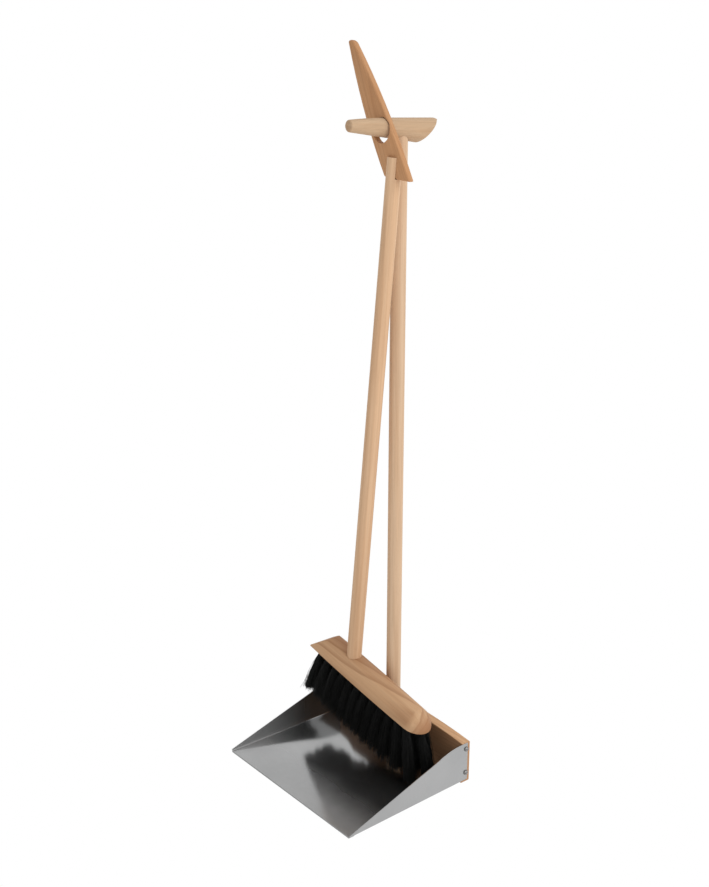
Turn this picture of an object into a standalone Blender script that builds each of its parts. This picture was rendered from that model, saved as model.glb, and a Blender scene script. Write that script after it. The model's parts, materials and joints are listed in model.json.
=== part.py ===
"""Standing dust pan and hanging brush: sheet-steel pan on a wooden back board, with a pole and a peg
handle, and a long-handled brush whose paddle-shaped blade hangs on that peg.

Metres, +Z up.  The origin is the middle of the back board's underside.
X runs across the pan, -Y points to the pan's lip.  The brush slides off its peg along -Y.
"""

import math

import bmesh
import bpy
from mathutils import Matrix, Vector

GAP = 0.0003  # running gap between pieces that touch
CUT_PAST = 0.001  # how far a round cutter starts outside the surface it cuts

# ---- pan sheet ----
SHEET_T = 0.0008
PAN_WIDTH = 0.280  # over the side walls, at the lip
PAN_TAPER = 0.0044  # how much narrower the pan is at its back board
PAN_DEPTH = 0.2210  # lip to the rear face of the back board
BEND_R = 0.0016  # middle of the sheet
HEM_R = 0.0006  # middle of the sheet where the lip is folded under
HEM_DEPTH = 0.009
FLOOR_RISE = 0.0031  # how much higher the floor is at the back than at the lip
WALL_LIP = 0.0037  # height of the side wall's top edge at the lip
WALL_SLOPE = 0.3135
WALL_REAR = 0.0622
WALL_BLEND = 0.017  # half length of the curve between the sloped edge and the level one
WALL_STATIONS = (0.03, 0.07, 0.11, 0.14)  # sections along the straight part, from the lip

# ---- back board ----
BOARD_T = 0.0147
BOARD_END_H = 0.0624
BOARD_ARCH = 0.0089
BOARD_ROUND = 0.003  # lower corners
BOARD_EDGE = 0.0007
SHEET_SHORT = 0.0055  # the sheet ends this far in front of the board's rear face

# ---- pan pole and peg handle ----
POLE_D = 0.021
MORTISE_GAP = 0.0004
PEG_TOP = 0.9085
PEG_LENGTH = 0.1424  # along the top
PEG_UNDER = 0.1122  # along the underside, which the slanted butt shortens
PEG_TIP_TO_POLE = 0.0856
PEG_TIP_D = 0.0151  # across the tip
PEG_FALL = 0.1204  # slope of the underside
PEG_SAG = 0.0028  # how far the top line drops towards the tip
PEG_LEVEL = 0.0759  # the top line is level from here on
PEG_RIM = 0.0022  # rounding around the flat end of the tip
PEG_HEEL = 0.0045  # rounding of the butt's top corner
PEG_STATIONS = (0.015, 0.03, 0.045, 0.06)  # sections along the taper, from the tip
PEG_POLE_DEPTH = 0.019  # how far the pole goes up into the peg

# ---- brush ----
STICK_D = 0.022  # at the head
STICK_TOP_D = 0.020
BLADE_T = 0.009
HOLE_R = 0.0162
HOLE_TO_STICK = 0.0256  # hole centre to the stick's axis
HEAD_HANG = 0.1356  # the peg's height less the length from the hole to the head's underside
HOLE_TO_TOP = 0.0305  # hole centre down to the square top end of the stick
HOLE_TO_FOOT = 0.0568  # hole centre down to the bottom edge of the blade
BLADE_Y = -0.04525
LEAN_X = math.radians(5.56)  # the hanging brush leans towards +X
HEAD_OFF_POLE = 0.00176  # how far the head's rear side hangs in front of the pole
BLADE_LEFT = (0.0123, -0.0784, 0.0992)  # x of the lower corner, x and z of the tip's shoulder
BLADE_RIGHT = (0.0613, -0.0662, 0.1003)
BLADE_LEFT_BOW = 0.0050
BLADE_TIP_BULGE = 1.1  # how far past a half circle the tip reaches
BLADE_RIGHT_BOW = 0.0050
BLADE_EDGE = 0.0022

HEAD_FLAT_END = -0.0759
HEAD_NOSE = 0.1641
HEAD_HALF_W = 0.0242
HEAD_WAIST = 0.0020  # how much narrower the head is at its ends
HEAD_TAPER = 0.0009  # and towards the nose
HEAD_H = 0.023
HEAD_NOSE_R = 0.0236
HEAD_EDGE = 0.0015
HEAD_RAMP = math.radians(40)  # the top rises at this angle from the flat end
HEAD_TILT = math.radians(7.37)  # the head isn't square to its stick
HEAD_YAW = math.radians(0.8)
STICK_IN_HEAD = 0.0175

TUFTS = 12
TUFT_ROWS = {"a": -0.0158, "b": 0.0, "c": 0.0158}
TUFT_FIRST = -0.054
TUFT_LAST = 0.1385
TUFT_LAST_MIDDLE = 0.150
TUFT_ROOT_R = 0.0042
TUFT_TIP_R = 0.0070
TUFT_L = 0.067
TUFT_FAN = (0.013, 0.020)  # how far the tufts at the flat end and at the nose lean outwards
TUFT_SPLAY = 0.004  # how far the front row leans forward

# ---- screws and nails ----
SCREW_D = 0.003
SCREW_HEAD_D = 0.0075
SCREW_HEAD_H = 0.0026
SCREW_L = 0.015
SCREW_SLOT = 0.0009
SIDE_SCREW_Y = -0.0011
SIDE_SCREW_Z = (0.0165, 0.0535)
FLOOR_SCREW_X = (-0.105, -0.035, 0.035, 0.105)
FLOOR_SCREW_L = 0.014
POLE_SCREW_Z = (0.0245, 0.0510)
POLE_SCREW_L = 0.027
POLE_SCREW_HEAD_D = 0.0070
HEAD_SCREW_L = 0.020
NAIL_D = 0.0022
NAIL_DROP = (0.0365, 0.0485)  # below the hole's centre
NAIL_SUNK = 0.001  # head under the surface of the stick
NAIL_SHORT = 0.0025  # how far the point stops short of the front cheek
NAIL_POINT = 0.002  # length of the point

# ---- places worked out from the sizes above ----
REAR_Y = BOARD_T / 2
LIP_Y = REAR_Y - PAN_DEPTH
BOARD_FRONT_Y = REAR_Y - BOARD_T
SHEET_END_Y = REAR_Y - SHEET_SHORT
LIP_FLOOR_Z = 2 * HEM_R + SHEET_T / 2
POLE_Y = BOARD_FRONT_Y - GAP - POLE_D / 2
PEG_TIP_Y = POLE_Y - PEG_TIP_TO_POLE
HOLE_TO_HEAD = PEG_TOP - HEAD_HANG  # hole centre to the underside of the head, along the stick
HEAD_Y = POLE_Y - POLE_D / 2 - HEAD_OFF_POLE - HEAD_HALF_W
LEAN_Y = math.asin((BLADE_Y - HEAD_Y) / HOLE_TO_HEAD)  # the stick leans towards the lip as it goes down
BOARD_HALF = PAN_WIDTH / 2 - PAN_TAPER / 2 - SHEET_T - GAP


def floor_z(y):
    """Middle of the floor sheet."""
    return LIP_FLOOR_Z + FLOOR_RISE * (y - LIP_Y) / PAN_DEPTH


def half_width(y):
    """Middle of the side walls."""
    return (PAN_WIDTH - SHEET_T) / 2 - PAN_TAPER / 2 * (y - LIP_Y) / PAN_DEPTH


def wall_top(y):
    """Top edge of the side walls: a slope that curves over to a level stretch."""
    run = y - LIP_Y
    knee = (WALL_REAR - WALL_LIP) / WALL_SLOPE
    if run > knee + WALL_BLEND:
        return WALL_REAR
    height = WALL_LIP + WALL_SLOPE * run
    into = run - (knee - WALL_BLEND)
    return height - WALL_SLOPE * into**2 / (4 * WALL_BLEND) if into > 0 else height


def peg_top(run):
    """Top line of the peg, by the distance from its tip."""
    return PEG_TOP - PEG_SAG * max(0.0, 1 - run / PEG_LEVEL) ** 2


def peg_bottom(run):
    return PEG_TOP - PEG_SAG - PEG_TIP_D - PEG_FALL * run


# ---- helpers ----
def clear_scene():
    for item in list(bpy.data.objects):
        bpy.data.objects.remove(item)


def material(name, colour, roughness, metallic=0.0):
    made = bpy.data.materials.new(name)
    made.use_nodes = True
    shader = made.node_tree.nodes["Principled BSDF"]
    shader.inputs["Base Color"].default_value = (*colour, 1)
    shader.inputs["Roughness"].default_value = roughness
    shader.inputs["Metallic"].default_value = metallic
    return made


def add(name, bm, finish=None, parent=None, smooth=True):
    """Turn a bmesh into a named object, its faces pointing out."""
    if bm.calc_volume(signed=True) < 0:
        bmesh.ops.reverse_faces(bm, faces=bm.faces)
    mesh = bpy.data.meshes.new(name)
    bm.to_mesh(mesh)
    bm.free()
    if smooth:
        mesh.shade_smooth()
        mesh.set_sharp_from_angle(angle=math.radians(35))
    item = bpy.data.objects.new(name, mesh)
    bpy.context.collection.objects.link(item)
    if finish:
        mesh.materials.append(finish)
    item.parent = parent
    return item


def empty(name, location, rotation, parent=None):
    item = bpy.data.objects.new(name, None)
    bpy.context.collection.objects.link(item)
    item.location = location
    item.rotation_euler = rotation
    item.parent = parent
    return item


def loft(bm, rings):
    """Closed skin through rings of points that all have the same count."""
    rows = [[bm.verts.new(point) for point in ring] for ring in rings]
    count = len(rows[0])
    for low, high in zip(rows, rows[1:]):
        for i in range(count):
            j = (i + 1) % count
            bm.faces.new((low[i], low[j], high[j], high[i]))
    bm.faces.new(list(reversed(rows[0])))
    bm.faces.new(rows[-1])
    return bm


def turned(profile, axis=None, segments=24):
    """Round piece about Z from (radius, z) pairs, then turned by a matrix."""
    rings = []
    for radius, z in profile:
        angles = [2 * math.pi * (i + 0.5) / segments for i in range(segments)]
        rings.append([(radius * math.cos(a), radius * math.sin(a), z) for a in angles])
    bm = loft(bmesh.new(), rings)
    if axis is not None:
        bm.transform(axis)
    return bm


def slab(points, depth, to_world):
    """Outline in its own XY plane, made depth thick about that plane, then moved by a matrix."""
    bm = loft(bmesh.new(), [[(x, y, side * depth / 2) for x, y in points] for side in (-1, 1)])
    bm.transform(to_world)
    return bm


def block(low, high):
    bm = bmesh.new()
    bmesh.ops.create_cube(bm, size=1.0)
    size = Vector(high) - Vector(low)
    middle = (Vector(high) + Vector(low)) / 2
    bm.transform(Matrix.Translation(middle) @ Matrix.Diagonal((*size, 1)))
    return bm


def cut(target, bm, operation="DIFFERENCE"):
    """Cut a solid out of a piece, both in the piece's parent frame."""
    cutter = add(f"cut_{target.name}_{len(target.modifiers)}", bm, parent=target.parent)
    cutter.hide_render = True
    cutter.display_type = "WIRE"
    step = target.modifiers.new("cut", "BOOLEAN")
    step.operation = operation
    step.object = cutter


def bevel(target, width, segments=2, angle=50):
    step = target.modifiers.new("edges", "BEVEL")
    step.width = width
    step.segments = segments
    step.limit_method = "ANGLE"
    step.angle_limit = math.radians(angle)


def pointing(direction, place):
    """Matrix that turns +Z to a direction and moves the origin to a place."""
    return Matrix.Translation(place) @ Vector(direction).to_track_quat("Z", "Y").to_matrix().to_4x4()


XZ_PLANE = Matrix(((1, 0, 0, 0), (0, 0, -1, 0), (0, 1, 0, 0), (0, 0, 0, 1)))  # local XY to world XZ
YZ_PLANE = Matrix(((0, 0, 1, 0), (1, 0, 0, 0), (0, 1, 0, 0), (0, 0, 0, 1)))  # local XY to world YZ


# ---- screws ----
def round_screw(name, place, inward, finish, length):
    """Round-head slotted screw; the head's flat side sits one gap off the surface at place."""
    rise = map(math.radians, (72, 48, 24, 0))
    dome = [(SCREW_HEAD_D / 2 * math.cos(a), SCREW_HEAD_H * math.sin(a) + GAP) for a in rise]
    profile = dome + [(SCREW_D / 2, GAP), (SCREW_D / 2, -length + SCREW_D / 2), (SCREW_D / 8, -length)]
    turn = pointing([-n for n in inward], place)
    screw = add(name, turned(profile, turn, segments=16), finish)
    low = (-SCREW_HEAD_D, -SCREW_SLOT / 2, SCREW_HEAD_H * 0.45)
    slot = block(low, (SCREW_HEAD_D, SCREW_SLOT / 2, 2 * SCREW_HEAD_H))
    slot.transform(turn)
    cut(screw, slot)
    return screw


def screw_hole(length):
    return turned([(SCREW_D / 2 + GAP, CUT_PAST), (SCREW_D / 2 + GAP, -length - GAP)], segments=16)


def sunk_screw(name, place, inward, finish, length, parent=None):
    """Countersunk screw whose flat head lies just under the surface at place."""
    radius = POLE_SCREW_HEAD_D / 2
    core = SCREW_D / 2
    profile = [(radius, -GAP), (core, -GAP - (radius - core)), (core, -length + core), (core / 4, -length)]
    return add(name, turned(profile, pointing([-n for n in inward], place), segments=16), finish, parent)


def sunk_hole(length):
    radius = POLE_SCREW_HEAD_D / 2 + GAP
    core = SCREW_D / 2 + GAP
    profile = [(radius + CUT_PAST, CUT_PAST), (radius, 0), (core, -(radius - core)), (core, -length - GAP)]
    return turned(profile, segments=16)


# ---- pan ----
def pan_sheet(finish):
    """One bent sheet: floor, two side walls and the lip folded back under the floor."""
    knee = (WALL_REAR - WALL_LIP) / WALL_SLOPE
    blend = [knee + WALL_BLEND * share for share in (-1, -0.6, -0.2, 0.2, 0.6, 1)]
    front = HEM_R + SHEET_T / 2
    runs = [front, *WALL_STATIONS] + blend
    stations = [LIP_Y + run for run in runs if LIP_Y + run < SHEET_END_Y] + [SHEET_END_Y]
    corner = [math.radians(a) for a in (0, 22.5, 45, 67.5, 90)]
    bm = bmesh.new()
    rows = []
    for y in stations:
        half, low = half_width(y), floor_z(y)
        top = max(wall_top(y), low + BEND_R + GAP)
        side = [(half, top)] + [
            (half - BEND_R + BEND_R * math.cos(a), low + BEND_R - BEND_R * math.sin(a)) for a in corner
        ]
        middle = [(half * share, low) for share in (0.5, 0.0, -0.5)]
        section = side + middle + [(-x, z) for x, z in reversed(side)]
        rows.append([bm.verts.new((x, y, z)) for x, z in section])
    floor_columns = slice(len(side) - 1, len(rows[0]) - len(side) + 1)
    hem = []
    low = floor_z(stations[0])
    fold = map(math.radians, (36, 72, 108, 144, 180))
    path = [(-HEM_R * math.sin(a), HEM_R * math.cos(a) - HEM_R) for a in fold]
    path.append((HEM_DEPTH, -2 * HEM_R))
    for dy, dz in path:
        columns = [vert.co.x for vert in rows[0][floor_columns]]
        hem.append([bm.verts.new((x, stations[0] + dy, low + dz)) for x in columns])
    for near, far in zip(rows, rows[1:]):
        for i in range(len(near) - 1):
            bm.faces.new((near[i], near[i + 1], far[i + 1], far[i]))
    strip = [rows[0][floor_columns]] + hem
    for near, far in zip(strip, strip[1:]):
        for i in range(len(near) - 1):
            bm.faces.new((near[i + 1], near[i], far[i], far[i + 1]))
    sheet = add("pan_sheet", bm, finish)
    wall = sheet.modifiers.new("sheet", "SOLIDIFY")
    wall.thickness = SHEET_T
    wall.offset = 0
    wall.use_even_offset = True
    return sheet


def board_outline():
    """Straight foot with round corners, upright ends and an arched top."""
    corner = []
    for degrees in (0, 30, 60, 90):
        a = math.radians(degrees)
        corner.append((BOARD_HALF - BOARD_ROUND * (1 - math.sin(a)), BOARD_ROUND * (1 - math.cos(a))))
    steps = 24
    shares = [1 - 2 * i / steps for i in range(steps + 1)]
    arch = [(BOARD_HALF * share, BOARD_END_H + BOARD_ARCH * (1 - share**2)) for share in shares]
    return corner + arch + [(-x, z) for x, z in reversed(corner)]


def back_board(finish):
    """The floor sheet sits in a saw cut in the board, relieved at its ends for the sheet's bends."""
    place = Matrix.Translation((0, REAR_Y - BOARD_T / 2, 0)) @ XZ_PLANE
    board = add("back_board", slab(board_outline(), BOARD_T, place), finish)
    bevel(board, BOARD_EDGE, segments=1)
    low = floor_z(BOARD_FRONT_Y) - SHEET_T / 2 - GAP
    high = floor_z(SHEET_END_Y) + SHEET_T / 2 + GAP
    past = BOARD_T  # how far the cutter passes the board
    side = [
        (BOARD_HALF + past, low),
        (BOARD_HALF + past, high + BEND_R + past),
        (BOARD_HALF - BEND_R, high),
    ]
    kerf = slab(side + [(-x, z) for x, z in reversed(side)], BOARD_T, XZ_PLANE)
    kerf.transform(Matrix.Translation((0, SHEET_END_Y + GAP - BOARD_T / 2, 0)))
    cut(board, kerf)
    return board


def pan_pole(finish):
    low = floor_z(POLE_Y + POLE_D / 2) + SHEET_T / 2 + GAP
    run = PEG_TIP_TO_POLE
    high = peg_bottom(run) + PEG_POLE_DEPTH
    bm = turned([(POLE_D / 2, low), (POLE_D / 2, high)], Matrix.Translation((0, POLE_Y, 0)), segments=32)
    return add("pan_pole", bm, finish)


def peg_handle(finish):
    """Turned taper with a flat tip; its butt is sawn off at a slant underneath."""
    rim = [(PEG_RIM * (1 - math.sin(a)), 1 - math.cos(a)) for a in map(math.radians, (90, 60, 30, 0))]
    body = [(run, 0.0) for run in (*PEG_STATIONS, PEG_LEVEL, PEG_UNDER, PEG_LENGTH + PEG_HEEL)]
    segments = 32
    rings = []
    for run, inset in rim + body:
        radius = (peg_top(run) - peg_bottom(run)) / 2 - PEG_RIM * inset
        middle = (peg_top(run) + peg_bottom(run)) / 2
        angles = [2 * math.pi * i / segments for i in range(segments)]
        rings.append([(radius * math.cos(a), PEG_TIP_Y + run, middle + radius * math.sin(a)) for a in angles])
    peg = add("peg_handle", loft(bmesh.new(), rings), finish)
    past = PEG_POLE_DEPTH  # how far the cutters pass the peg
    toe = Vector((PEG_TIP_Y + PEG_UNDER, peg_bottom(PEG_UNDER)))
    heel = Vector((PEG_TIP_Y + PEG_LENGTH, PEG_TOP))
    slant = (heel - toe).normalized()
    knee = heel - slant * PEG_HEEL - Vector((0, PEG_HEEL / 4))
    below = toe - slant * past
    above = Vector((heel.x - PEG_HEEL / 4, PEG_TOP + PEG_HEEL / 4))
    far = heel.x + past
    outline = [below, (far, below.y), (far, above.y), above, heel - Vector((0, PEG_HEEL / 2)), knee]
    cut(peg, slab(outline, PEG_UNDER, YZ_PLANE))
    depth = peg_bottom(PEG_TIP_TO_POLE) + PEG_POLE_DEPTH + GAP
    radius = POLE_D / 2 + MORTISE_GAP
    mortise = turned([(radius, depth - 2 * PEG_POLE_DEPTH), (radius, depth)], segments=32)
    mortise.transform(Matrix.Translation((0, POLE_Y, 0)))
    cut(peg, mortise)
    return peg


# ---- brush, in its own frame: origin in the middle of the blade's hole, Z along the stick ----
def arc(start, end, bow, steps):
    """Points from start to end on an arc that bows to the right of the way travelled."""
    start, end = Vector(start), Vector(end)
    chord = end - start
    side = Vector((chord.y, -chord.x)).normalized()
    radius = (chord.length**2 / 4 + bow**2) / (2 * bow)
    half = math.asin(chord.length / 2 / radius)
    points = []
    for i in range(steps + 1):
        a = half * (2 * i / steps - 1)
        along = chord.length / 2 + radius * math.sin(a)
        out = radius * math.cos(a) - (radius - bow)
        points.append(tuple(start + chord.normalized() * along + side * out))
    return points


def blade_outline():
    """Leaning leaf: square foot, two bowed sides and a round tip."""
    left = (BLADE_LEFT[0], -HOLE_TO_FOOT)
    right = (BLADE_RIGHT[0], -HOLE_TO_FOOT)
    sides = arc(right, BLADE_RIGHT[1:], BLADE_RIGHT_BOW, 9)
    back = arc(BLADE_LEFT[1:], left, BLADE_LEFT_BOW, 9)
    tip_a, tip_b = Vector(sides[-1]), Vector(back[0])
    middle = (tip_a + tip_b) / 2
    reach = (tip_a - tip_b).length / 2
    outward = (middle - Vector((0, 0))).normalized()
    across = (tip_a - middle).normalized()
    cap = []
    for degrees in range(18, 180, 18):
        a = math.radians(degrees)
        cap.append(tuple(middle + across * reach * math.cos(a) + outward * reach * BLADE_TIP_BULGE * math.sin(a)))
    return sides + cap + back


def blade(finish, frame):
    board = add("blade", slab(blade_outline(), BLADE_T, XZ_PLANE), finish, frame)
    bevel(board, BLADE_EDGE)
    cut(board, turned([(HOLE_R, -BLADE_T), (HOLE_R, BLADE_T)], XZ_PLANE, segments=40))
    return board


def brush_stick(finish, frame):
    low = -HOLE_TO_HEAD + HEAD_H - STICK_IN_HEAD
    place = Matrix.Translation((HOLE_TO_STICK, 0, 0))
    dowel = turned([(STICK_D / 2, low), (STICK_TOP_D / 2, -HOLE_TO_TOP)], place, segments=32)
    stick = add("brush_stick", dowel, finish, frame)
    half = BLADE_T / 2 + GAP
    left, right = HOLE_TO_STICK - STICK_D, HOLE_TO_STICK + STICK_D
    cut(stick, block((left, -half, -HOLE_TO_FOOT - GAP), (right, half, 0)))
    return stick


def blade_nails(finish, frame, blade_piece, stick_piece):
    """Two nails from behind pin the blade in the stick's slot; they stop short of the front cheek."""
    reach = STICK_TOP_D / 2 - NAIL_SUNK
    tip = reach - NAIL_SHORT
    for number, drop in enumerate(NAIL_DROP, 1):
        place = Matrix.Translation((HOLE_TO_STICK, 0, -drop)) @ Matrix.Rotation(math.radians(90), 4, "X")
        radius = NAIL_D / 2
        shank = [(radius / 4, tip), (radius, tip - NAIL_POINT), (radius, -reach)]
        hole = [(radius + GAP, tip + 2 * GAP), (radius + GAP, -STICK_TOP_D / 2 - CUT_PAST)]
        add(f"blade_nail_{number}", turned(shank, place, segments=10), finish, frame)
        for piece in (blade_piece, stick_piece):
            cut(piece, turned(hole, place, segments=10))


def head_section(run):
    """Half width and crown of the head, by the distance from the stick's axis."""
    middle = (HEAD_FLAT_END + HEAD_NOSE) / 2
    share = (run - middle) / (HEAD_NOSE - middle)
    half = HEAD_HALF_W - HEAD_WAIST * share**2 - HEAD_TAPER * share
    crown = HEAD_H
    into = run - (HEAD_NOSE - HEAD_NOSE_R)
    if into > 0:
        share = math.sqrt(max(0.0, 1 - (into / HEAD_NOSE_R) ** 2))
        half, crown = half * share, crown * share
    ramp = HEAD_EDGE + (run - HEAD_FLAT_END) * math.tan(HEAD_RAMP)
    return half, min(crown, max(ramp, HEAD_EDGE))


def brush_head(finish, head_frame):
    """Long body with a flat underside, a round back, a flat end and a round nose."""
    ramp_end = HEAD_FLAT_END + (HEAD_H - HEAD_EDGE) / math.tan(HEAD_RAMP)
    nose_start = HEAD_NOSE - HEAD_NOSE_R
    runs = [HEAD_FLAT_END + (ramp_end - HEAD_FLAT_END) * share for share in (0, 0.25, 0.5, 0.75, 1)]
    runs += [ramp_end + (nose_start - ramp_end) * share for share in (0.2, 0.4, 0.6, 0.8, 1)]
    runs += [nose_start + HEAD_NOSE_R * math.sin(math.radians(a)) for a in (18, 34, 48, 60, 70, 79, 86)]
    steps = 14
    rings = []
    for run in runs:
        half, crown = head_section(run)
        full = half / HEAD_HALF_W * HEAD_H if run > nose_start else HEAD_H
        ring = []
        for i in range(steps + 1):
            a = math.pi * i / steps
            height = full * math.sin(a)
            ring.append((run, -half * math.cos(a), min(height, crown) + HEAD_EDGE * min(1, crown / HEAD_H)))
        ring += [(run, half, 0), (run, -half, 0)]
        rings.append(ring)
    head = add("brush_head", loft(bmesh.new(), rings), finish, head_frame)
    radius = STICK_D / 2 + GAP
    socket = turned([(radius, HEAD_H - STICK_IN_HEAD - GAP), (radius, 2 * HEAD_H)], segments=32)
    socket.transform(Matrix.Rotation(-HEAD_TILT, 4, "Y"))
    cut(head, socket)
    return head


def head_screw(finish, head_frame, head, stick):
    """Countersunk screw from below, through the head and up into the stick's end grain."""
    screw = sunk_screw("head_screw", (0, 0, 0), (0, 0, 1), finish, HEAD_SCREW_L, head_frame)
    for piece in (head, stick):
        hole = sunk_hole(HEAD_SCREW_L)
        hole.transform(pointing((0, 0, -1), (0, 0, 0)))
        if piece.parent is not head_frame:
            hole.transform(head_frame.matrix_basis)
        cut(piece, hole)
    return screw


def tufts(finish, head_frame):
    """Bundles of bristle in three rows, each wider at its tip; the end ones lean outwards."""
    middle = (TUFT_FIRST + TUFT_LAST) / 2
    for row, y in TUFT_ROWS.items():
        last = TUFT_LAST_MIDDLE if y == 0 else TUFT_LAST
        for column in range(TUFTS):
            x = TUFT_FIRST + (last - TUFT_FIRST) * column / (TUFTS - 1)
            share = (x - middle) / (TUFT_LAST - middle)
            lean = TUFT_FAN[share > 0] * share**3
            tuft = turned([(TUFT_TIP_R, -TUFT_L), (TUFT_ROOT_R, -GAP)], segments=8)
            shear = Matrix.Translation((x, y, 0))
            shear[0][2] = -lean / TUFT_L
            shear[1][2] = TUFT_SPLAY / TUFT_L if row == "a" else 0
            tuft.transform(shear)
            add(f"tuft_{row}{column + 1:02d}", tuft, finish, head_frame)


def build():
    clear_scene()
    steel = material("steel", (0.56, 0.57, 0.58), 0.22, 1.0)
    plated = material("plated_steel", (0.60, 0.60, 0.61), 0.3, 1.0)
    birch = material("birch", (0.62, 0.42, 0.27), 0.5)
    bristle = material("bristle", (0.012, 0.013, 0.012), 0.6)

    sheet = pan_sheet(steel)
    board = back_board(birch)
    pole = pan_pole(birch)
    peg_handle(birch)

    for side, name in ((1, "right"), (-1, "left")):
        face = side * (half_width(SIDE_SCREW_Y) + SHEET_T / 2)
        for level, z in zip(("lower", "upper"), SIDE_SCREW_Z):
            place = (face, SIDE_SCREW_Y, z)
            inward = (-side, 0, 0)
            round_screw(f"side_screw_{name}_{level}", place, inward, plated, SCREW_L)
            for piece in (sheet, board):
                hole = screw_hole(SCREW_L)
                hole.transform(pointing((side, 0, 0), place))
                cut(piece, hole)
    for number, x in enumerate(FLOOR_SCREW_X, 1):
        place = (x, (BOARD_FRONT_Y + SHEET_END_Y) / 2, 0)
        sunk_screw(f"floor_screw_{number}", place, (0, 0, 1), plated, FLOOR_SCREW_L)
        for piece in (sheet, board):
            hole = sunk_hole(FLOOR_SCREW_L)
            hole.transform(pointing((0, 0, -1), place))
            cut(piece, hole)
    for number, z in enumerate(POLE_SCREW_Z, 1):
        place = (0, REAR_Y, z)
        sunk_screw(f"pole_screw_{number}", place, (0, -1, 0), plated, POLE_SCREW_L)
        for piece in (board, pole):
            hole = sunk_hole(POLE_SCREW_L)
            hole.transform(pointing((0, 1, 0), place))
            cut(piece, hole)

    run = BLADE_Y - PEG_TIP_Y
    hang = (0, BLADE_Y, peg_top(run) - HOLE_R + 2 * GAP)
    frame = empty("brush", hang, (-LEAN_Y, LEAN_X, 0))
    head_frame = empty("head", (HOLE_TO_STICK, 0, -HOLE_TO_HEAD), (0, HEAD_TILT, HEAD_YAW), frame)
    paddle = blade(birch, frame)
    stick = brush_stick(birch, frame)
    blade_nails(plated, frame, paddle, stick)
    head = brush_head(birch, head_frame)
    bpy.context.view_layer.update()
    head_screw(plated, head_frame, head, stick)
    tufts(bristle, head_frame)


build()
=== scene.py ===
# %% [markdown]
# # A standing dust pan with its hanging brush
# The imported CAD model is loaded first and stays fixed.  Everything below dresses it: turned birch for
# the poles and handles, rolled steel for the pan, black fibre for the brush.  All sizes are in metres,
# +Z is up, and the pan's lip points along -Y.

import json
import math

import bmesh
import bpy
from mathutils import Matrix, Vector

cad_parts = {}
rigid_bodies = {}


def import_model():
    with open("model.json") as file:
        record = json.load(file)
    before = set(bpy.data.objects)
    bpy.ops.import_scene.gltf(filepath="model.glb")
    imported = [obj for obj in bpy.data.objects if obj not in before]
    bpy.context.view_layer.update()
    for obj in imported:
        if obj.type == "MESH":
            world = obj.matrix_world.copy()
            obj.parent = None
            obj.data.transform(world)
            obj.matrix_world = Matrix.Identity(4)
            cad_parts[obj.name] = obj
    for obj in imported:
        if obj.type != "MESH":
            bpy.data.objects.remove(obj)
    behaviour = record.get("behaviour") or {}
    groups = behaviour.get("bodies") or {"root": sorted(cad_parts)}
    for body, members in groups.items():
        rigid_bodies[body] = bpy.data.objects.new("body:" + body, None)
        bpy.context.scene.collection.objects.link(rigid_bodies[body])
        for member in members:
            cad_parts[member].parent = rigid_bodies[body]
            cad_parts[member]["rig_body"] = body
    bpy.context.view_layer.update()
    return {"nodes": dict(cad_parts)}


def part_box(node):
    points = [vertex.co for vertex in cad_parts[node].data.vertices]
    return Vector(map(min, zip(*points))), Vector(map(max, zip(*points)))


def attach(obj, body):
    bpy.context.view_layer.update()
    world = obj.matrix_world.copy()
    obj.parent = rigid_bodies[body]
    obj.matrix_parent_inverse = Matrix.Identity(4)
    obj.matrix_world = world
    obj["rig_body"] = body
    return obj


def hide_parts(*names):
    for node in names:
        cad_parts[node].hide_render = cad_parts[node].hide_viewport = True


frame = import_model()
nodes = frame["nodes"]
scene = bpy.context.scene

# %% [markdown]
# ## Camera
# A normal lens at waist height looks down at the set from its right front.  The camera's axes are
# built from a yaw, a pitch and a small roll, which is easier to read than an Euler triple.

# %% Camera
CAMERA_PLACE = Vector((1.1714, -1.04245, 0.9107))
CAMERA_YAW = math.radians(50.966)
CAMERA_PITCH = math.radians(15.740)
CAMERA_ROLL = math.radians(-0.109)
LENS = 47.226
SENSOR = 36


def add_camera():
    ahead = Vector((
        -math.sin(CAMERA_YAW) * math.cos(CAMERA_PITCH),
        math.cos(CAMERA_YAW) * math.cos(CAMERA_PITCH),
        -math.sin(CAMERA_PITCH),
    ))
    right = Vector((math.cos(CAMERA_YAW), math.sin(CAMERA_YAW), 0))
    down = ahead.cross(right)
    along, over = math.cos(CAMERA_ROLL), math.sin(CAMERA_ROLL)
    right, down = right * along + down * over, down * along - right * over
    turn = Matrix((right, -down, -ahead)).transposed().to_4x4()
    data = bpy.data.cameras.new("camera")
    data.lens = LENS
    data.sensor_width = SENSOR
    camera = bpy.data.objects.new("camera", data)
    camera.matrix_world = Matrix.Translation(CAMERA_PLACE) @ turn
    scene.collection.objects.link(camera)
    scene.camera = camera
    return camera


print("camera looks along", -add_camera().matrix_world.col[2].to_3d())

# %% [markdown]
# ## Studio
# The set stands on a light table: floor and backdrop glow plain white, so nothing but the product is
# seen.  The dome is dimmer on the side the blade's broad face looks at, which leaves that face in gentle
# shade and shows the blade's thickness.  One large panel at the right is the key light.

# %% Studio
DOME = 1.0
DOME_SHADE = 0.50
SHADE_TOWARD = (-0.25, -0.95, 0.15)
SHADE_STARTS = -0.1
SHADE_FULL = 0.8
KEY_PLACE = (2.3, -0.20, 1.8)
KEY_AIM = (0, -0.05, 0.45)
KEY_SIZE = 1.6
KEY_WATTS = 20
FLOOR_HALF = 12


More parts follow.
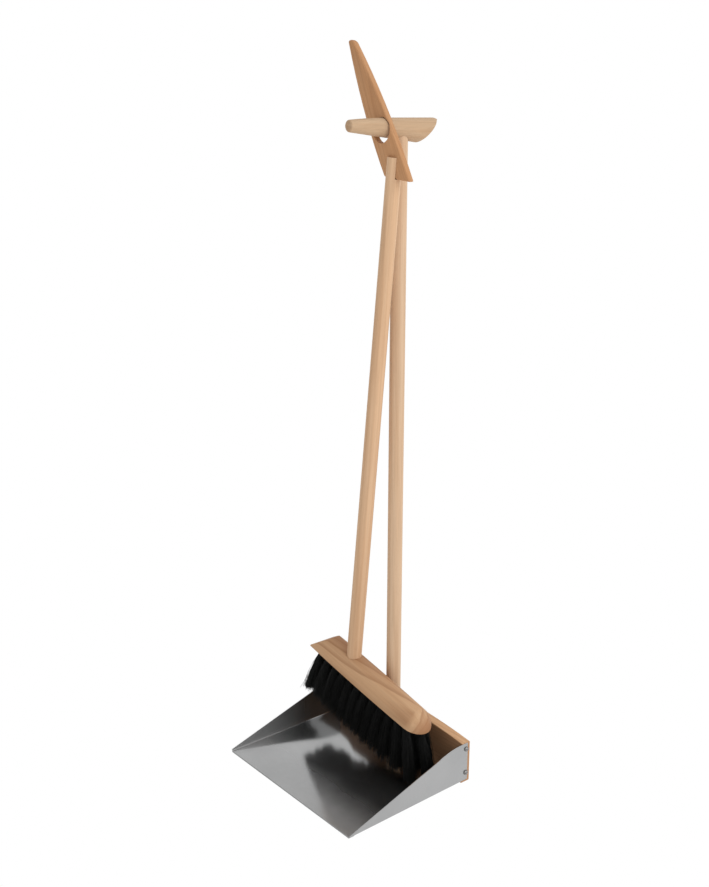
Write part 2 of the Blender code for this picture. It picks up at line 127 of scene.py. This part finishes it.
def add_dome():
    world = bpy.data.worlds.new("dome")
    world.use_nodes = True
    tree, link = world.node_tree, world.node_tree.links.new
    way = tree.nodes.new("ShaderNodeTexCoord")
    facing = tree.nodes.new("ShaderNodeVectorMath")
    facing.operation = "DOT_PRODUCT"
    facing.inputs[1].default_value = SHADE_TOWARD
    level = tree.nodes.new("ShaderNodeMapRange")
    level.interpolation_type = "SMOOTHSTEP"
    level.inputs["From Min"].default_value = SHADE_STARTS
    level.inputs["From Max"].default_value = SHADE_FULL
    level.inputs["To Min"].default_value = DOME
    level.inputs["To Max"].default_value = DOME - DOME_SHADE
    link(way.outputs["Generated"], facing.inputs[0])
    link(facing.outputs["Value"], level.inputs["Value"])
    back = tree.nodes["Background"]
    back.inputs["Color"].default_value = (1, 1, 1, 1)
    link(level.outputs["Result"], back.inputs["Strength"])
    scene.world = world


def add_key():
    data = bpy.data.lights.new("key", "AREA")
    data.size = KEY_SIZE
    data.energy = KEY_WATTS
    key = bpy.data.objects.new("key", data)
    aim = Vector(KEY_AIM) - Vector(KEY_PLACE)
    key.matrix_world = Matrix.Translation(KEY_PLACE) @ aim.to_track_quat("-Z", "Y").to_matrix().to_4x4()
    scene.collection.objects.link(key)


def add_floor():
    mesh = bpy.data.meshes.new("floor")
    corners = [(x * FLOOR_HALF, y * FLOOR_HALF, 0) for x, y in ((-1, -1), (1, -1), (1, 1), (-1, 1))]
    mesh.from_pydata(corners, [], [(0, 1, 2, 3)])
    floor = bpy.data.objects.new("floor", mesh)
    scene.collection.objects.link(floor)
    return floor


add_dome()
add_key()
floor = add_floor()
scene.view_settings.view_transform = "Standard"
print("floor is", 2 * FLOOR_HALF, "m wide")

# %% [markdown]
# ## Shader maths as Python
# A value on a surface is a socket.  Wrapping it lets `1 - mask * 0.5` build its own Math nodes, and one
# method makes any other node from its type, its settings and what goes into its sockets.


# %% A value on a surface
class Value:
    """A socket that can be added, multiplied and so on."""

    def __init__(self, net, socket):
        self.net = net
        self.socket = socket

    def math(self, operation, *others):
        made = self.net.node("ShaderNodeMath", {"operation": operation}, {})
        for place, item in enumerate((self, *others)):
            self.net.feed(made.inputs[place], item)
        return Value(self.net, made.outputs[0])

    def __add__(self, other):
        return self.math("ADD", other)

    __radd__ = __add__

    def __mul__(self, other):
        return self.math("MULTIPLY", other)

    __rmul__ = __mul__

    def __sub__(self, other):
        return self.math("SUBTRACT", other)

    def __rsub__(self, other):
        return self.after("SUBTRACT", other)

    def __truediv__(self, other):
        return self.math("DIVIDE", other)

    def __rtruediv__(self, other):
        return self.after("DIVIDE", other)

    def after(self, operation, number):
        """A Math node that takes the number first and this value second."""
        made = self.net.node("ShaderNodeMath", {"operation": operation}, {0: number, 1: self})
        return Value(self.net, made.outputs[0])


print("values can be added, taken away, multiplied and divided")


# %% The nodes of one material
class Net:
    """The node tree of one material."""

    def __init__(self, name):
        self.material = bpy.data.materials.new(name)
        self.material.use_nodes = True
        self.tree = self.material.node_tree
        self.shader = self.tree.nodes["Principled BSDF"]

    def feed(self, socket, item):
        if isinstance(item, Value):
            self.tree.links.new(item.socket, socket)
        else:
            socket.default_value = item

    def node(self, kind, settings, sockets):
        made = self.tree.nodes.new(kind)
        for key, item in settings.items():
            if key == "ramp":
                while len(made.color_ramp.elements) < len(item):
                    made.color_ramp.elements.new(0.5)
                for stop, (place, shade) in zip(made.color_ramp.elements, item):
                    stop.position = place
                    stop.color = (shade, shade, shade, 1)
            else:
                setattr(made, key, item)
        for key, item in sockets.items():
            self.feed(made.inputs[key], item)
        return made

    def coords(self, to_grain=Matrix.Identity(4)):
        """Object coordinates, turned into a piece's own axes."""
        place = self.node("ShaderNodeTexCoord", {}, {}).outputs["Object"]
        turn, move = to_grain.to_euler(), to_grain.translation
        turned = self.node("ShaderNodeMapping", {}, {
            "Vector": Value(self, place), "Location": move, "Rotation": turn,
        })
        return Value(self, turned.outputs[0])

    def stretch(self, vector, scale):
        made = self.node("ShaderNodeVectorMath", {"operation": "MULTIPLY"}, {0: vector, 1: scale})
        return Value(self, made.outputs[0])

    def noise(self, vector, scale=1.0, detail=3.0, roughness=0.5):
        made = self.node("ShaderNodeTexNoise", {}, {
            "Vector": vector, "Scale": scale, "Detail": detail, "Roughness": roughness,
        })
        return Value(self, made.outputs[0])

    def ramp(self, value, stops):
        made = self.node("ShaderNodeValToRGB", {"ramp": stops}, {"Fac": value})
        return Value(self, made.outputs[0])

    def mix(self, mask, low, high, blend="MIX"):
        made = self.tree.nodes.new("ShaderNodeMix")
        made.data_type = "RGBA"
        made.blend_type = blend
        self.feed(made.inputs["Factor"], mask)
        for socket, item in (("A", low), ("B", high)):
            place = [i for i in made.inputs if i.name == socket and i.type == "RGBA"][0]
            self.feed(place, (*item, 1) if isinstance(item, tuple) and len(item) == 3 else item)
        out = [o for o in made.outputs if o.type == "RGBA"][0]
        return Value(self, out)

    def parts(self, vector):
        made = self.node("ShaderNodeSeparateXYZ", {}, {0: vector})
        return [Value(self, out) for out in made.outputs]

    def bump(self, height, strength, distance):
        made = self.node("ShaderNodeBump", {}, {
            "Height": height, "Strength": strength, "Distance": distance,
        })
        self.feed(self.shader.inputs["Normal"], Value(self, made.outputs[0]))

    def set(self, **sockets):
        for key, item in sockets.items():
            self.feed(self.shader.inputs[key.replace("_", " ").title()], item)
        return self.material


print("materials can be built")


# %% Light table
def light_table():
    net = Net("light_table")
    net.shader.inputs["Emission Strength"].default_value = 1.0
    net.shader.inputs["Specular IOR Level"].default_value = 0.0
    return net.set(base_color=(0, 0, 0, 1), roughness=1.0, emission_color=(1, 1, 1, 1))


floor.data.materials.append(light_table())
print("floor is dressed")

# %% [markdown]
# ## Birch
# Every wooden piece is birch with an oiled, satin finish.  Real grain is a solid pattern: rings around
# the pith of the tree, cut by the piece's surfaces.  So the shader measures the distance to a slightly
# tilted pith line.  A board sawn near it shows pointed arches, a turned rod shows long stripes.  Fine
# fibres, short dark pores, slow changes of tone and darker end grain come on top.  The patterns are
# noises stretched along the grain, and GRAIN says how often each one changes in a metre, along the grain
# and across it.

# %% Birch colours and grain
PALE = (0.700, 0.475, 0.300)
WARM = (0.620, 0.385, 0.225)
LATE = (0.400, 0.215, 0.115)
END = (0.430, 0.225, 0.120)
# The next tint colours the painted shade on faces that look at the lip.
LIP_SHADE_TINT = (0.5, 0.35, 0.30)
PORE_SHADE = 0.30
RING_WOBBLE = 0.006
RING_PROFILE = [(0.0, 0.0), (0.55, 0.12), (0.86, 1.0), (0.97, 0.9), (1.0, 0.0)]
HEART_FADES = [(0.014, 1), (0.030, 0)]
PORES = [(0.66, 0), (0.74, 1)]
BLUSH = [(0.36, 0), (0.66, 1)]
FACES_LIP = [(0.5, 0), (0.9, 1)]
END_GRAIN = [(0.42, 0), (0.85, 1)]
LATE_GAIN = 1.6
FIBRE_CONTRAST = 0.34
SATIN = 0.50
WOOD_SHINE = 0.12
GRAIN_RELIEF = 0.0004
GRAIN = {
    "wobble": (5, 28, 28),
    "strength": (4, 40, 40),
    "fibre": (14, 700, 700),
    "streak": (3.5, 150, 150),
    "slow": (4, 18, 18),
    "pore": (130, 2300, 2300),
}
print(len(GRAIN), "patterns make the grain")


# %% Birch shader
def tinted(colour, tint):
    return tuple(a * b for a, b in zip(colour, tint))


def birch(name, along, origin, pith=(0.0, 0.03), tilt=(0.02, 0.01), ring=0.0045, seed=0.0, late=0.35,
          side=(0, 0, 1), tint=(1, 1, 1), end_shade=0.55, heart=0.0, stain=0.0):
    """Grain along one direction; pith is how far the tree's middle lies from the origin, to the side
    and below, and tilt is how fast it moves away along the piece.  Heart darkens the wood near it, and
    the last argument paints shade on the faces that look at the lip."""
    x_axis = Vector(along).normalized()
    z_axis = (Vector(side) - x_axis * x_axis.dot(Vector(side))).normalized()
    y_axis = z_axis.cross(x_axis)
    grain = Matrix((x_axis, y_axis, z_axis)).transposed().to_4x4()
    grain.translation = Vector(origin)
    net = Net(name)
    place = net.coords(grain.inverted())
    shifted = net.node("ShaderNodeVectorMath", {"operation": "ADD"}, {0: place, 1: (seed, seed, seed)})
    solid = Value(net, shifted.outputs[0])
    x, y, z = net.parts(place)

    def pattern(kind, detail, roughness=0.5):
        return net.noise(net.stretch(solid, GRAIN[kind]), detail=detail, roughness=roughness)

    wobble = pattern("wobble", 2) - 0.5
    across = y + x * tilt[0] - pith[0]
    below = z + x * tilt[1] + pith[1]
    radius = (across * across + below * below).math("SQRT") + wobble * RING_WOBBLE
    rings = net.ramp((radius / ring).math("FRACT"), RING_PROFILE)
    strong = pattern("strength", 1)
    fibre = pattern("fibre", 4, roughness=0.6)
    streak = pattern("streak", 3)
    slow = pattern("slow", 2)
    pores = net.ramp(pattern("pore", 1), PORES)
    blush = net.ramp(slow * 0.45 + streak * 0.55, BLUSH)
    colour = net.mix(blush, tinted(PALE, tint), tinted(WARM, tint))
    colour = net.mix(net.ramp(radius, HEART_FADES) * heart, colour, tinted(LATE, tint))
    colour = net.mix(rings * (strong * late * LATE_GAIN), colour, tinted(LATE, tint))
    colour = net.mix(pores * PORE_SHADE, colour, tinted(LATE, tint))
    lift = fibre * FIBRE_CONTRAST + (1 - FIBRE_CONTRAST / 2)
    grey = net.node("ShaderNodeCombineXYZ", {}, {0: lift, 1: lift, 2: lift})
    colour = net.mix(1.0, colour, Value(net, grey.outputs[0]), "MULTIPLY")
    normal = Value(net, net.node("ShaderNodeNewGeometry", {}, {}).outputs["Normal"])
    facing = net.node("ShaderNodeVectorMath", {"operation": "DOT_PRODUCT"}, {0: normal, 1: tuple(x_axis)})
    # Painted shade: faces that look at the lip get darker, standing in for the bristles' shadow on the
    # board's inner face.
    lipward = net.ramp(net.parts(normal)[1] * -1, FACES_LIP)
    colour = net.mix(lipward * stain, colour, tinted(LATE, LIP_SHADE_TINT))
    ends = net.ramp(Value(net, facing.outputs["Value"]).math("ABSOLUTE"), END_GRAIN)
    colour = net.mix(ends * end_shade, colour, tinted(END, tint))
    net.set(base_color=colour, roughness=SATIN + fibre * 0.16 + pores * 0.1)
    net.shader.inputs["Specular IOR Level"].default_value = WOOD_SHINE
    net.bump(fibre * 0.6 - pores * 0.5 + rings * 0.25, 0.25, GRAIN_RELIEF)
    return net.material


print("birch shader ready")

# %% [markdown]
# ## Wooden pieces
# The CAD solids are flat triangles.  A copy with its doubles merged can be shaded smooth where it is
# round and crisp where it has an edge, and a narrow bevel catches the light along those edges, as on
# sanded wood.  The copy stands for the CAD node and rides on the same body.


# %% Smooth copies
DOUBLES = 1e-6
FLAT = math.radians(0.5)
EDGE_ANGLE = 32
BEVEL_STEPS = 3


def smooth_copy(node, material, bevel=0.0, angle=EDGE_ANGLE):
    source = nodes[node]
    bm = bmesh.new()
    bm.from_mesh(source.data)
    bmesh.ops.remove_doubles(bm, verts=bm.verts, dist=DOUBLES)
    bmesh.ops.dissolve_limit(bm, angle_limit=FLAT, verts=bm.verts, edges=bm.edges)
    mesh = bpy.data.meshes.new(f"{node}_look")
    bm.to_mesh(mesh)
    bm.free()
    mesh.materials.append(material)
    piece = bpy.data.objects.new(f"{node}_look", mesh)
    scene.collection.objects.link(piece)
    if bevel:
        step = piece.modifiers.new("edges", "BEVEL")
        step.width = bevel
        step.segments = BEVEL_STEPS
        step.limit_method = "ANGLE"
        step.angle_limit = math.radians(angle)
        step.harden_normals = True
    mesh.shade_smooth()
    mesh.set_sharp_from_angle(angle=math.radians(angle))
    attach(piece, source["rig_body"])
    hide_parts(node)
    return piece


def middle(node):
    low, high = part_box(node)
    return (low + high) / 2


def wooden(node, name, along, bevel=0.0, **grain):
    """A wooden piece with its grain in one direction."""
    piece = smooth_copy(node, birch(name, along, middle(node), **grain), bevel)


print("a copy is crisp where its faces turn by more than", EDGE_ANGLE, "degrees")


# %% [markdown]
# Grain runs the long way of each piece.  The pole, the peg and the board follow the pan's own axes.  The
# stick leans to the right as it goes up, the head falls towards its nose, and the blade's grain runs up
# to its tip.

# %% Six wooden pieces
UP = (0, 0, 1)
BACK = (0, 1, 0)
LEAN = math.radians(5.56)
HEAD_FALL = math.radians(12.93)
STICK_LEAN = Vector((math.sin(LEAN), 0.0121, math.cos(LEAN)))
HEAD_ALONG = Vector((math.cos(HEAD_FALL), 0.014, -math.sin(HEAD_FALL)))
BLADE_ALONG = Vector((-0.44, 0.0, 0.90))

SALLOW = (0.97, 1.03, 1.10)
MUTED = (0.80, 0.84, 0.86)
BROWN = (0.79, 0.64, 0.51)
HONEY = (0.86, 0.82, 0.77)
AMBER = (0.92, 0.86, 0.78)

wooden("pan_pole", "birch_pole", UP, side=BACK, pith=(0.02, 0.012), seed=1.0, ring=0.006, late=0.25,
       tint=SALLOW)
wooden("brush_stick", "birch_stick", STICK_LEAN, side=BACK, pith=(0.01, 0.02), seed=2.3, ring=0.007,
       late=0.25)
wooden("peg_handle", "birch_peg", BACK, bevel=0.0008, pith=(0.005, 0.035), seed=3.1, late=0.2,
       tint=MUTED, end_shade=0.2)
wooden("blade", "birch_blade", BLADE_ALONG, side=(0, -1, 0), pith=(0.0, 0.012), seed=4.7,
       tilt=(0.01, 0.05), late=0.3, tint=BROWN)
wooden("brush_head", "birch_head", HEAD_ALONG, bevel=0.0012, pith=(0.010, 0.006), seed=5.9,
       tilt=(0.0, 0.09), ring=0.0060, late=0.9, heart=1.0, tint=HONEY, end_shade=0.8)
# The board's inner face, which looks at the lip, gets painted shade.
wooden("back_board", "birch_board", (1, 0, 0), bevel=0.0004, side=BACK, pith=(0.0, 0.02), seed=6.5,
       late=0.4, tint=AMBER, stain=0.5, end_shade=0.75)
print("six wooden pieces")

# %% [markdown]
# ## Steel sheet
# The pan is one sheet of cold-rolled stainless steel.  It mirrors the brush as a soft dark shape, so the
# metal needs low roughness with very fine rolling lines and faint smudges.  Sweeping has dulled the
# front of the pan and its walls, so a broad haze takes over there.


# %% Steel
STEEL_DARK = (0.372, 0.376, 0.378)
STEEL_LIGHT = (0.445, 0.446, 0.446)
MIRROR = 0.07
HAZE = 0.12
HAZE_AT_LIP = 0.62
HAZE_FROM = 0.135
HAZE_RUN = 0.060
HAZE_ROUGHNESS = 0.50
WALL_HAZE = 0.9
WALL_INSIDE = 0.1355
WALL_EDGE = 0.0015
WALL_HAZE_FROM = 0.05
WALL_HAZE_RUN = 0.10
RISE = [(0, 0), (1, 1)]


def steel():
    """A sharp reflection under a broad haze, as rolled sheet gives."""
    net = Net("rolled_steel")
    place = net.coords()
    rolling = net.noise(net.stretch(place, (40, 1800, 1800)), detail=4, roughness=0.65)
    smudge = net.noise(place, scale=14, detail=4, roughness=0.6)
    cloud = net.noise(place, scale=5, detail=2)
    tone = net.ramp(cloud * 0.5 + smudge * 0.5, [(0.3, 0.0), (0.7, 1.0)])
    colour = net.mix(tone, STEEL_DARK, STEEL_LIGHT)
    net.set(base_color=colour, metallic=1.0, roughness=MIRROR + rolling * 0.04 + smudge * 0.07)
    net.bump(rolling * 0.5, 0.05, 0.0002)
    haze = net.node("ShaderNodeBsdfPrincipled", {}, {
        "Base Color": colour, "Metallic": 1.0, "Roughness": HAZE_ROUGHNESS,
    })
    x, y, _ = net.parts(place)
    worn = net.ramp((y * -1 - HAZE_FROM) / HAZE_RUN + (smudge - 0.5) * 0.5, RISE)
    walls = net.ramp((x.math("ABSOLUTE") - WALL_INSIDE) / WALL_EDGE, RISE)
    walls = walls * net.ramp((y * -1 - WALL_HAZE_FROM) / WALL_HAZE_RUN, RISE) * WALL_HAZE
    amount = (worn * (HAZE_AT_LIP - HAZE) + HAZE).math("MAXIMUM", walls)
    both = net.node("ShaderNodeMixShader", {}, {"Fac": amount})
    net.tree.links.new(net.shader.outputs[0], both.inputs[1])
    net.tree.links.new(haze.outputs[0], both.inputs[2])
    net.tree.links.new(both.outputs[0], net.tree.nodes["Material Output"].inputs["Surface"])
    return net.material


sheet = smooth_copy("pan_sheet", steel(), angle=28)
print("pan sheet has", len(sheet.data.polygons), "faces")

# %% [markdown]
# ## Screws and nails
# The fasteners are plated steel, duller than the sheet, with grime in fine specks.  A wider angle keeps
# their round heads smooth.

# %% Plated steel
PLATING = (0.34, 0.34, 0.34)
GRIME = (0.18, 0.17, 0.16)


def plated():
    net = Net("plated_steel")
    place = net.coords()
    grime = net.ramp(net.noise(place, scale=900, detail=3), [(0.35, 0), (0.75, 1)])
    colour = net.mix(grime, PLATING, GRIME)
    net.set(base_color=colour, metallic=1.0, roughness=0.30 + grime * 0.2)
    net.bump(grime, 0.1, 0.0002)
    return net.material


plated_finish = plated()
fasteners = [name for name in nodes if "screw" in name or "nail" in name]
for name in fasteners:
    piece = smooth_copy(name, plated_finish, angle=40)
print(len(fasteners), "screws and nails")

# %% [markdown]
# ## Bristles
# Each tuft is a bundle of stiff black fibres set in a drilled hole.  The CAD tuft gives where a bundle
# starts and ends.  Geometry Nodes copy every tuft's point many times, pick a place for each fibre in a
# disc at both ends, and draw a thin three-sided tube between them with a slight bow.  Fibres that would
# run into the pole or the left side wall are pushed to lie just in front of it.  Each row is a piece of
# its own, because all three together would have too many triangles for one.

# %% Tuft points
HAIRS = 520
TIP_SHIFT = 0.0035
TIP_SHIFT_NOSE = 0.006
TIP_SPREAD = 1.85
TIP_SPREAD_ENDS = 1.25
HAIR_RADIUS = 0.00020
HAIR_POINTS = 4
BOW = 0.006
INTO_WOOD = 0.003
CLEAR = 0.0006
POLE_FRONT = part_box("pan_pole")[0].y - CLEAR
POLE_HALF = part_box("pan_pole")[1].x + 4 * CLEAR
WALL_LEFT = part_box("back_board")[0].x + CLEAR


def middle_and_axes(points):
    """Centre of a ring of points and two half axes at right angles across it."""
    centre = sum(points, Vector()) / len(points)
    first = points[0] - centre
    others = sorted(points, key=lambda point: abs((point - centre).dot(first)))
    return centre, first, others[0] - centre


def tuft_points(row):
    """A row's tufts as points at their roots, which carry the tufts' tips and half axes."""
    names = sorted(name for name in nodes if name.startswith(f"tuft_{row}"))
    fields = {"root_u": [], "root_v": [], "tip": [], "tip_u": [], "tip_v": []}
    roots = []
    for number, name in enumerate(names):
        points = {tuple(round(n, 6) for n in vert.co) for vert in nodes[name].data.vertices}
        points = sorted((Vector(point) for point in points), key=lambda point: point.z)
        half = len(points) // 2
        tip, tip_u, tip_v = middle_and_axes(points[:half])
        root, root_u, root_v = middle_and_axes(points[half:])
        share = number / (len(names) - 1)
        edge = abs(2 * share - 1) ** 4
        spread = TIP_SPREAD + (TIP_SPREAD_ENDS - TIP_SPREAD) * edge
        tip = tip + HEAD_ALONG * (TIP_SHIFT + TIP_SHIFT_NOSE * share ** 4)
        tip_u, tip_v = tip_u * spread, tip_v * spread
        roots.append(root + (root - tip).normalized() * INTO_WOOD)
        for key, item in zip(fields, (root_u, root_v, tip, tip_u, tip_v)):
            fields[key].extend(item)
    mesh = bpy.data.meshes.new(f"tufts_{row}")
    mesh.from_pydata(roots, [], [])
    for key, numbers in fields.items():
        mesh.attributes.new(key, "FLOAT_VECTOR", "POINT").data.foreach_set("vector", numbers)
    return names, mesh


print(len(tuft_points("a")[0]), "tufts in a row")


# %% Geometry node helpers
TREE_INPUTS = {
    "Geometry": "NodeSocketGeometry",
    "Fibres per tuft": "NodeSocketInt",
    "Fibre radius": "NodeSocketFloat",
    "Seed": "NodeSocketInt",
}


class Tree:
    """One Geometry Nodes tree.  A method that adds a node returns the socket it puts out."""

    def __init__(self, name):
        self.group = bpy.data.node_groups.new(name, "GeometryNodeTree")
        self.nodes, self.link = self.group.nodes, self.group.links.new
        for socket, kind in TREE_INPUTS.items():
            self.group.interface.new_socket(socket, in_out="INPUT", socket_type=kind)
        self.group.interface.new_socket("Geometry", in_out="OUTPUT", socket_type="NodeSocketGeometry")
        self.source = self.nodes.new("NodeGroupInput")
        self.result = self.nodes.new("NodeGroupOutput")

    def add(self, kind, settings=None, **sockets):
        """Any node; a socket is given by its name, or by its number after an i."""
        made = self.nodes.new(kind)
        for key, item in (settings or {}).items():
            setattr(made, key, item)
        for key, item in sockets.items():
            place = made.inputs[int(key[1:])] if key[1:].isdigit() else made.inputs[key.replace("_", " ")]
            if isinstance(item, bpy.types.NodeSocket):
                self.link(item, place)
            else:
                place.default_value = item
        return made.outputs[0]

    def calc(self, operation, a, b=0.0):
        return self.add("ShaderNodeMath", {"operation": operation}, i0=a, i1=b)

    def vector(self, operation, a, b=(0, 0, 0)):
        return self.add("ShaderNodeVectorMath", {"operation": operation}, i0=a, i1=b)

    def scaled(self, a, factor):
        return self.add("ShaderNodeVectorMath", {"operation": "SCALE"}, i0=a, Scale=factor)

    def field(self, name):
        return self.add("GeometryNodeInputNamedAttribute", {"data_type": "FLOAT_VECTOR"}, Name=name)

    def keep(self, geometry, name, item):
        return self.add("GeometryNodeStoreNamedAttribute", {"data_type": "FLOAT_VECTOR"},
                        Geometry=geometry, Name=name, Value=item)

    def random(self, low, high, offset):
        made = self.nodes.new("FunctionNodeRandomValue")
        made.inputs[2].default_value = low
        made.inputs[3].default_value = high
        self.link(self.calc("ADD", self.source.outputs["Seed"], offset), made.inputs["Seed"])
        return made.outputs[1]


print("the fibre tree takes", ", ".join(TREE_INPUTS))

# %% [markdown]
# A tuft's fibres start and end in two ellipses, whose half axes come from the CAD tuft.  A random turn
# and the square root of a random reach fill an ellipse evenly.  A few fibres stray far out, and their
# lengths vary, as on a brush that has been used.

# %% Where fibres start and end
STRAY_POWER = 10.0
STRAY_REACH = 0.7
SPREAD_VARIES = 0.12
SHORTEST = 0.95
LONGEST = 1.07


def fibre_ends(tree):
    """A point for every fibre, which carries its root, its tip and its bow."""
    points = tree.add("GeometryNodeMeshToPoints", None, Mesh=tree.source.outputs["Geometry"])
    many = tree.add("GeometryNodeDuplicateElements", {"domain": "POINT"},
                    Geometry=points, Amount=tree.source.outputs["Fibres per tuft"])
    turn = tree.random(0.0, 2 * math.pi, 1)
    reach = tree.calc("SQRT", tree.random(0.0, 1.0, 2))
    side_u = tree.calc("MULTIPLY", tree.calc("COSINE", turn), reach)
    side_v = tree.calc("MULTIPLY", tree.calc("SINE", turn), reach)
    root_shift = tree.vector("ADD", tree.scaled(tree.field("root_u"), side_u),
                             tree.scaled(tree.field("root_v"), side_v))
    root = tree.vector("ADD", tree.add("GeometryNodeInputPosition"), root_shift)
    stray = tree.calc("MULTIPLY", tree.calc("POWER", tree.random(0.0, 1.0, 3), STRAY_POWER), STRAY_REACH)
    spread = tree.calc("ADD", tree.calc("ADD", stray, 1.0), tree.random(-SPREAD_VARIES, SPREAD_VARIES, 4))
    tip_shift = tree.vector("ADD", tree.scaled(tree.field("tip_u"), side_u),
                            tree.scaled(tree.field("tip_v"), side_v))
    tip = tree.vector("ADD", tree.field("tip"), tree.scaled(tip_shift, spread))
    run = tree.vector("SUBTRACT", tip, root)
    tip = tree.vector("ADD", root, tree.scaled(run, tree.random(SHORTEST, LONGEST, 5)))
    sideways = tree.add("ShaderNodeCombineXYZ", None, i0=tree.random(0, 1, 6), i1=tree.random(0, 1, 7))
    bow = tree.vector("MULTIPLY", tree.vector("SUBTRACT", sideways, (0.5, 0.5, 0)), (BOW, BOW, 0))
    return tree.keep(tree.keep(tree.keep(many, "from", root), "to", tip), "bow", bow)


print("lengths vary from", SHORTEST, "to", LONGEST)


# %% How a fibre runs
def fibre_spot(tree):
    """The place of a point on its fibre, pushed clear of the pole and of the left wall."""
    share = tree.nodes.new("GeometryNodeSplineParameter").outputs["Factor"]
    arch = tree.calc("SINE", tree.calc("MULTIPLY", share, math.pi))
    way = tree.scaled(tree.vector("SUBTRACT", tree.field("to"), tree.field("from")), share)
    straight = tree.vector("ADD", tree.field("from"), way)
    spot = tree.vector("ADD", straight, tree.scaled(tree.field("bow"), arch))
    parts = tree.add("ShaderNodeSeparateXYZ", None, i0=spot).node.outputs
    beside_pole = tree.calc("LESS_THAN", tree.calc("ABSOLUTE", parts["X"]), POLE_HALF)
    into_pole = tree.calc("MAXIMUM", tree.calc("SUBTRACT", parts["Y"], POLE_FRONT), 0.0)
    forward = tree.calc("MULTIPLY", tree.calc("MULTIPLY", into_pole, beside_pole), -1.0)
    inward = tree.calc("MAXIMUM", tree.calc("SUBTRACT", WALL_LEFT, parts["X"]), 0.0)
    return tree.vector("ADD", spot, tree.add("ShaderNodeCombineXYZ", None, i0=inward, i1=forward))


print("fibres stay", CLEAR, "m clear of the pole")


# %% Black fibre
FIBRE_BLACK = (0.0030, 0.0033, 0.0030)
FIBRE_DUST = (0.0090, 0.0090, 0.0085)


def fibre_finish():
    net = Net("black_fibre")
    place = net.coords()
    dust = net.ramp(net.noise(place, scale=260, detail=3), [(0.45, 0), (0.75, 1)])
    colour = net.mix(dust, FIBRE_BLACK, FIBRE_DUST)
    net.set(base_color=colour, roughness=0.45 + dust * 0.2)
    net.shader.inputs["Specular IOR Level"].default_value = 0.2
    return net.material


fibre_look = fibre_finish()
print("fibres are black with a little dust")


# %% Fibre tree
def fibre_tree(material):
    tree = Tree("fibres")
    line = tree.add("GeometryNodeCurvePrimitiveLine")
    line = tree.add("GeometryNodeResampleCurve", None, Curve=line, Count=HAIR_POINTS)
    hairs = tree.add("GeometryNodeInstanceOnPoints", None, Points=fibre_ends(tree), Instance=line)
    hairs = tree.add("GeometryNodeRealizeInstances", None, Geometry=hairs)
    hairs = tree.add("GeometryNodeSetPosition", None, Geometry=hairs, Position=fibre_spot(tree))
    radius = tree.source.outputs["Fibre radius"]
    circle = tree.add("GeometryNodeCurvePrimitiveCircle", None, Resolution=3, Radius=radius)
    tubes = tree.add("GeometryNodeCurveToMesh", None, Curve=hairs, Profile_Curve=circle, Fill_Caps=True)
    tubes = tree.add("GeometryNodeRealizeInstances", None, Geometry=tubes)
    tubes = tree.add("GeometryNodeSetMaterial", None, Geometry=tubes, Material=material)
    tree.link(tubes, tree.result.inputs[0])
    return tree.group


fibres = fibre_tree(fibre_look)
print(len(fibres.nodes), "nodes grow the fibres")


# %% Grow the three rows
HELPERS = ("root_u", "root_v", "tip", "tip_u", "tip_v", "from", "to", "bow")
FIRST_SEED = 11
SEED_STEP = 7


def grow(row, seed):
    names, mesh = tuft_points(row)
    seedbed = bpy.data.objects.new(f"seedbed_{row}", mesh)
    scene.collection.objects.link(seedbed)
    step = seedbed.modifiers.new("fibres", "NODES")
    step.node_group = fibres
    sizes = {"Fibres per tuft": HAIRS, "Fibre radius": HAIR_RADIUS, "Seed": seed}
    for item in fibres.interface.items_tree:
        if item.in_out == "INPUT" and item.name in sizes:
            step[item.identifier] = sizes[item.name]
    seen = seedbed.evaluated_get(bpy.context.evaluated_depsgraph_get())
    grown = bpy.data.meshes.new_from_object(seen)
    grown.name = f"bristles_{row}"
    for attribute in list(grown.attributes):
        if attribute.name in HELPERS:
            grown.attributes.remove(attribute)
    bpy.data.objects.remove(seedbed)
    grown.shade_smooth()
    piece = bpy.data.objects.new(f"bristles_{row}", grown)
    scene.collection.objects.link(piece)
    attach(piece, "brush")
    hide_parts(*names)
    return len(grown.polygons)


for number, row in enumerate("abc"):
    print("row", row, "has", grow(row, FIRST_SEED + SEED_STEP * number), "faces")
